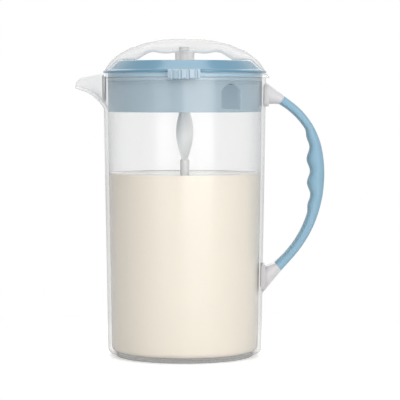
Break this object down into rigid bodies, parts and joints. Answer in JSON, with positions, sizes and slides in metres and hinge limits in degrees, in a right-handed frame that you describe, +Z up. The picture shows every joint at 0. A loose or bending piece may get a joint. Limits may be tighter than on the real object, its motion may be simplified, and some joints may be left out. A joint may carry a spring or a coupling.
{
  "type": "baby formula pitcher",
  "caption": "Clear formula pitcher with beak spout, soft-grip side handle and a turning lid whose deep collar has pour windows, with an arched handle that turns twisted mixing blades.",
  "frame": {"origin": "centre of the base, on the jug's axis, at the surface that it stands on", "axes": "+Z up the jug's axis, +X towards the side handle, -X towards the spout, -Y towards the lid's thumb tab"},
  "size_m": [0.1711, 0.1204, 0.2186],
  "materials": {
    "clear_shell": "clear polished",
    "frosted_frame": "translucent moulded",
    "soft_grip": "soft satin overmould",
    "silicone": "translucent silicone",
    "lid_blue": "semi-gloss moulded",
    "collar_blue": "semi-gloss moulded",
    "white_plastic": "moulded",
    "frosted_handle": "translucent moulded",
    "clip_steel": "stainless",
    "blade_plastic": "moulded"
  },
  "bodies": {
    "pitcher": {"pitcher_body": "clear_shell", "handle_frame": "frosted_frame", "handle_grip": "soft_grip"},
    "lid_ring": {"lid_gasket": "silicone"},
    "lid": {"lid_cap": "lid_blue", "stopper_collar": "collar_blue", "shaft_bushing": "white_plastic", "shaft_seal": "silicone"},
    "mixer": {"turning_handle": "frosted_handle", "drive_shaft": "white_plastic", "retaining_clip": "clip_steel", "mixing_blade": "blade_plastic", "mixer_tube": "blade_plastic", "lower_blade": "blade_plastic"}
  },
  "joints": [
    {"name": "lid_lift", "type": "slide", "parent": "pitcher", "child": "lid_ring", "axis": [0, 0, 1], "range_m": [0, 0.2]},
    {"name": "lid_turn", "type": "hinge", "parent": "lid_ring", "child": "lid", "pos_m": [0, 0, 0.19], "axis": [0, 0, 1], "range_deg": [0, 53]},
    {"name": "mixer_turn", "type": "hinge", "parent": "lid", "child": "mixer", "pos_m": [0, 0, 0.2], "axis": [0, 0, 1], "continuous": true}
  ]
}
